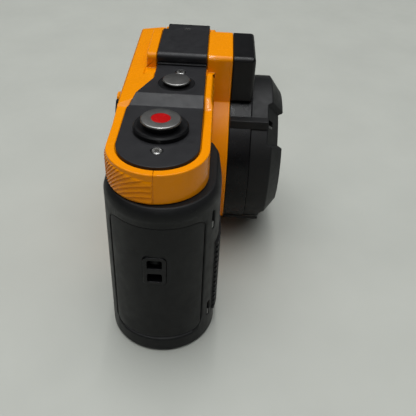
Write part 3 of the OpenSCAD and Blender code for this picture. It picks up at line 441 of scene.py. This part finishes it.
for button, dot_r in (("record", 3.4 * mm), ("power", 0.0)):
    centre = middle(button + "_cap")
    radius, height = size_of(button + "_cap")
    disc = turned(button + "_disc", cap_profile(radius, height, rim_rounding, dot_r), centre)
    metal = spun(button + "_spun_steel", (0.30, 0.295, 0.285), 0.32, centre)
    place_mesh(button + "_disc", disc, metal, button + "_button", "button_metal", button + "_cap")
enamel = finish("red_enamel", (0.42, 0.004, 0.005), 0.25, mottle=0.06, grains=((0.0006, 0.000003),),
                Coat_Weight=0.1, Coat_Roughness=0.1, Specular_IOR_Level=0.15)
dress(enamel, "record_dot")
satin = finish("black_satin", (0.0045, 0.0045, 0.005), 0.34, grains=((0.0003, 0.000003),), dust=0.03,
               Specular_IOR_Level=0.24)
dress(satin, "record_stem", "power_stem", "record_collar", "power_ring")


# ---- Hump front ----
# The black cover on the front of the hump, with a clear lamp window and its board behind.
eased("hump_front_cover", 0.5 * mm, satin, "black_plastic")
clear = finish("clear_window", (0.9, 0.92, 0.93), 0.06, mottle=0.02, rough_drift=0.02,
               Transmission_Weight=0.9, IOR=1.49)
dress(clear, "lamp_window")
board_green = finish("board_green", (0.012, 0.10, 0.045), 0.35, mottle=0.25, patch=0.004)
dress(board_green, "lamp_board", "sensor_board", "main_board")


# ---- Lens drum ----
# A smooth black drum on the orange flange, a matte guard with four lobes clipped over it, and the glass port.
# The guard is a lathe form whose front sinks at four notches. The rest are CAD meshes, three with rounded edges.
drum_black = finish("drum_black", (0.004, 0.004, 0.0045), 0.30, mottle=0.15,
                    grains=((0.0003, 0.000002),), dust=0.04, Specular_IOR_Level=0.2)
guard_black = finish("guard_black", (0.009, 0.0092, 0.0095), 0.5, mottle=0.12,
                     grains=((0.00035, 0.000012),), dust=0.03, Specular_IOR_Level=0.25)
eased("lens_housing", 0.3 * mm, drum_black, "black_plastic")


def rounded(points, radius, steps=5):
    """A polyline whose inner corners are replaced by parabolic arcs that start radius / 2 before each corner."""
    points = np.array(points, float)
    path = [points[:1]]
    t = np.linspace(0, 1, steps)[:, None]
    for before, at, after in zip(points[:-2], points[1:-1], points[2:]):
        start = at + (before - at) / np.linalg.norm(before - at) * radius / 2
        stop = at + (after - at) / np.linalg.norm(after - at) * radius / 2
        path.append((1 - t) ** 2 * start + 2 * t * (1 - t) * at + t ** 2 * stop)
    return np.concatenate(path + [points[-1:]])


def guard_form():
    """The section (radius, distance along the axis) is turned about the lens axis. Its front part moves back
    by drop(angle) = notch depth x smooth step of the angle into the nearest notch. A square of the notch's
    bevel, centred clip_share of the way up it, sinks along the bevel's normal as the pocket of a clip."""
    low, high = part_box("lens_guard")
    outer = (high.x - low.x) / 2
    axis_z = (high.z + low.z) / 2
    back, front = -high.y, -low.y
    bevel_r, bevel_d, notch, pocket = 7.0 * mm, 5.2 * mm, 2.0 * mm, 1.7 * mm
    wall, clip_share, sink = 8.9 * mm, 0.27, 2.1 * mm
    bore, edge = outer - wall, front - bevel_d
    along = math.hypot(bevel_r, bevel_d)
    across = np.array([-bevel_r, bevel_d]) / along
    inward = np.array([-bevel_d, -bevel_r]) / along
    centre = clip_share * along
    thin = 0.03 * mm
    margin = 0.5 * mm
    marks = np.sort(np.concatenate([centre + pocket * np.linspace(-1, 1, 9),
                                    [centre - pocket - thin, centre + pocket + thin],
                                    np.linspace(centre + pocket + margin, along - margin, 8)]))
    bevel = np.array([outer, edge]) + marks[:, None] * across
    side = rounded([(bore, back), (outer, back), (outer, back + 3 * mm)], 0.6 * mm)
    shoulder = rounded([(outer, edge - 2.6 * mm), (outer, edge), tuple(bevel[0])], 0.9 * mm, 7)
    rim = rounded([tuple(bevel[-1]), (outer - bevel_r, front), (outer - bevel_r - 0.4 * mm, front),
                   (bore, front - 4.4 * mm), (bore, front - 6 * mm)], 0.3 * mm)
    section = np.concatenate([side, shoulder[:-1], bevel, rim[1:]])
    moves = np.arange(len(section)) >= len(side)
    first = len(side) + len(shoulder) - 1
    notches = np.radians([48.5, 131.5, 228.5, 311.5])[:, None]
    half, blend, reach = math.radians(16.5), 1.9 * mm / outer, pocket / (outer - clip_share * bevel_r)
    lines = np.concatenate([notches + reach * np.linspace(-1, 1, 9), notches - reach - thin / outer,
                            notches + reach + thin / outer], axis=1).ravel()
    plain = np.radians(np.arange(0, 360, 0.75))
    clear = np.abs(plain[:, None] - notches.T).min(1) > reach + 0.004
    angle = np.sort(np.concatenate([plain[clear], lines]))[:, None]
    off = np.abs(angle - notches.T).min(1)[:, None]
    drop = notch * ease((half + blend / 2 - off) / blend)
    radius = section[None, :, 0] + 0 * angle
    depth = section[None, :, 1] - drop * moves
    steps_along = np.full(len(section), -1.0)
    steps_along[first:first + len(bevel)] = marks
    sunk = (off < reach + thin / outer / 2) & (np.abs(steps_along - centre) < pocket + thin / 2)[None, :]
    radius = radius + sunk * inward[0] * sink
    depth = depth + sunk * inward[1] * sink
    return np.stack([radius * np.cos(angle), -depth, axis_z + radius * np.sin(angle)], -1)


guard = grid_mesh("lens_guard_form", guard_form(), close_u=True, close_v=True)
outward(guard)
smooth_by_angle(guard, 35)
place_mesh("lens_guard_form", guard, guard_black, nodes["lens_guard"]["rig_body"], "guard_plastic", "lens_guard")
eased("corner_rails", 0.3 * mm, guard_black, "guard_plastic")
eased("port_bezel", 0.2 * mm, satin, "black_plastic")
coated = finish("coated_glass", (0.85, 0.90, 1.0), 0.02, mottle=0.02, rough_drift=0.01,
                grains=((0.004, 0.0000002),), Transmission_Weight=1.0, IOR=1.52)
dress(coated, "front_glass", "front_element", "middle_element", "rear_element")
barrel_black = finish("barrel_black", (0.012, 0.012, 0.013), 0.45, metal=0.3)
dress(barrel_black, "lens_barrel", "iris_plate")
sensor_face = finish("sensor_face", (0.05, 0.03, 0.09), 0.18, metal=0.4)
dress(sensor_face, "image_sensor")


# ---- Grip ----
# A rounded moulding with a soft rubber wrap set in a groove, a ribbed finger pad and a strap anchor.
# The wrap is a ring laid on the grip's round end by formula. The rest are CAD meshes with rounded edges.
rubber = finish("grip_rubber", (0.0075, 0.0078, 0.0082), 0.48, mottle=0.14, patch=0.02,
                grains=((0.0005, 0.00002), (0.00018, 0.000006)), dust=0.04, Specular_IOR_Level=0.22)
levels = [height * mm for height in range(6, 70, 4)]
seat_low, seat_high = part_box("grip_wrap")
around_seat = Vector((1, 1, 1)) * 0.6 * mm
eased("grip_shell", 0.5 * mm, rubber, "grip_plastic", slices=levels,
      sharp=(seat_low - around_seat, seat_high + around_seat))


def wrap_form():
    """A ring of the (Y, Z) plane between two rounded rectangles, seen along the same rays from the strap
    anchor's middle, laid on the grip's round end: x = end centre - root of (radius - depth) squared - y squared.
    The depth rises to the skin's thickness at both rims over a small rounding."""
    low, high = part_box("grip_wrap")
    hole_low, hole_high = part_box("strap_anchor")
    centre = np.array([(hole_low.y + hole_high.y) / 2, (hole_low.z + hole_high.z) / 2])
    ray = np.linspace(0, 2 * np.pi, 480, endpoint=False)
    way = np.stack([np.cos(ray), np.sin(ray)], -1)

    def reach(start, stop, rounding):
        """Distance along each ray to a rounded rectangle, by halving."""
        mid, half = (start + stop) / 2, (stop - start) / 2 - rounding
        near, far = np.zeros(len(ray)), np.full(len(ray), 0.1)
        for _ in range(36):
            trial = (near + far) / 2
            past = np.abs(centre + trial[:, None] * way - mid) - half
            outside = np.linalg.norm(np.maximum(past, 0), axis=1) + np.minimum(past.max(1), 0) > rounding
            near, far = np.where(outside, near, trial), np.where(outside, trial, far)
        return trial

    play, hole_corner, rim_corner = 0.12 * mm, 1.7 * mm, 3 * mm
    inside = reach(np.array([hole_low.y, hole_low.z]) - play, np.array([hole_high.y, hole_high.z]) + play,
                   hole_corner)
    outside = reach(np.array([low.y, low.z]), np.array([high.y, high.z]), rim_corner)
    bend, thick = 0.15 * mm, 1.15 * mm
    swing = np.linspace(0, np.pi / 2, 5)
    rim_in, rim_depth = bend * (1 - np.sin(swing)), bend * (1 - np.cos(swing))
    steps = np.linspace(0, 1, 34)
    gap = (outside - inside)[:, None]
    top_in = inside[:, None] + bend + (gap - 2 * bend) * steps[None, 1:-1]
    outer = np.concatenate([inside[:, None] + rim_in[None, ::-1], top_in,
                            outside[:, None] - rim_in[None, :]], axis=1)
    outer_depth = np.concatenate([rim_depth[::-1], np.zeros(len(steps) - 2), rim_depth])
    run = np.concatenate([outer, outer[:, ::-1]], axis=1)
    depth = np.concatenate([outer_depth, np.full(len(outer_depth), thick)])
    y = centre[0] + run * way[:, :1]
    z = centre[1] + run * way[:, 1:]
    end_r = near_x - low.x
    end_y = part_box("grip_shell")[1].y - end_r
    x = near_x - np.sqrt((end_r - depth) ** 2 - (y - end_y) ** 2)
    return np.stack([x, y, z], -1)


wrap = grid_mesh("grip_wrap_form", wrap_form(), close_u=True, close_v=True)
outward(wrap)
smooth_by_angle(wrap, 40)
place_mesh("grip_wrap_form", wrap, rubber, nodes["grip_wrap"]["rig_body"], "rubber", "grip_wrap")
eased("finger_pad", 0.2 * mm, rubber, "rubber")
anchor_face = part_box("strap_anchor")[0].x
eased("strap_anchor", 0.25 * mm, satin, "gloss_black", sharp=((anchor_face + 0.8 * mm, -1, -1), (1, 1, 1)))


# ---- Back ----
# The display behind one glass, three round keys in a gloss panel and the zoom rocker.
display_black = finish("display_black", (0.006, 0.006, 0.007), 0.08, mottle=0.1, rough_drift=0.03,
                       grains=((0.006, 0.0000004),), Coat_Weight=1.0, Coat_Roughness=0.03)
dress(display_black, "display_glass")
panel_grey = finish("panel_grey", (0.05, 0.055, 0.065), 0.25)
dress(panel_grey, "display_panel")
eased("key_panel", 0.3 * mm, satin, "gloss_black")
key_grey = finish("key_grey", (0.10, 0.10, 0.105), 0.4)
dress(key_grey, "menu_key", "ok_key", "play_key")
eased("zoom_rocker", 0.4 * mm, satin, "black_plastic")
dress(satin, "display_frame")
silicone = finish("silicone", (0.10, 0.10, 0.10), 0.6)
dress(silicone, "port_seal", "key_mat")
seam_seal = finish("seam_seal", (0.42, 0.13, 0.0), 0.6, mottle=0.06, grains=((0.0005, 0.000004),))
dress(seam_seal, "shell_gasket")


# ---- Bottom and battery ----
# The base plate with its tripod nut, and the battery behind a hinged door with a sliding latch.
base_black = finish("base_black", (0.010, 0.010, 0.0105), 0.45, grains=((0.0004, 0.000008),), dust=0.04,
                    Specular_IOR_Level=0.3)
eased("battery_door", 0.3 * mm, base_black, "grip_plastic")
eased("base_plate", 0.3 * mm, base_black, "black_plastic")
latch_grey = finish("latch_grey", (0.16, 0.16, 0.165), 0.45)
dress(latch_grey, "door_latch")
battery_wrap = finish("battery_wrap", (0.05, 0.08, 0.16), 0.4)
dress(battery_wrap, "battery")
brass = finish("brass", (0.72, 0.50, 0.20), 0.28, metal=1.0)
dress(brass, "tripod_nut")
dress(base_black, "port_block")


# ---- Table and light ----
# A pale table with faint smudges, a soft lamp overhead to the back, and two thin tubes above.
table = finish("table_top", (0.437, 0.446, 0.405), 0.55, mottle=0.035, patch=0.05, grains=((0.002, 0.00001),))
floor_mesh = bpy.data.meshes.new("table")
table_half = 3.0
corners = [(x * table_half, y * table_half, 0) for x, y in ((-1, -1), (1, -1), (1, 1), (-1, 1))]
floor_mesh.from_pydata(corners, [], [(0, 1, 2, 3)])
floor_mesh.materials.append(table)
floor = bpy.data.objects.new("table", floor_mesh)
bpy.context.scene.collection.objects.link(floor)


def lamp(name, place, aim, wide, tall, power):
    """An area lamp at place, turned to aim, with its long side along Y before it is turned."""
    data = bpy.data.lights.new(name, "AREA")
    data.shape = "RECTANGLE"
    data.size, data.size_y = wide, tall
    data.energy = power
    made = bpy.data.objects.new(name, data)
    made.location = place
    made.rotation_euler = (Vector(aim) - Vector(place)).to_track_quat("-Z", "Y").to_euler()
    bpy.context.scene.collection.objects.link(made)


middle_of_body = (0, 0, 0.05)
lamp("overhead", (0.35, 0.35, 1.8), middle_of_body, 2.0, 2.0, 11.3)
lamp("tube_near", (-0.09, 0.0, 1.3), middle_of_body, 0.03, 1.2, 1.9)
lamp("tube_far", (0.04, 0.0, 1.3), middle_of_body, 0.03, 1.2, 1.9)
lamp("tube_behind", (-1.3, 0.0, 1.15), middle_of_body, 0.03, 1.2, 1.0)
world = bpy.data.worlds.new("room")
bpy.context.scene.world = world
world.use_nodes = True
sky = world.node_tree
background = sky.nodes["Background"]
background.inputs["Color"].default_value = (0.95, 0.98, 1.0, 1)
direction = sky.nodes.new("ShaderNodeTexCoord")
split = sky.nodes.new("ShaderNodeSeparateXYZ")
link(sky, direction.outputs["Generated"], split.inputs["Vector"])
link(sky, spread(sky, split.outputs["Z"], 0.04, 1.8, 0.68, 0.92), background.inputs["Strength"])
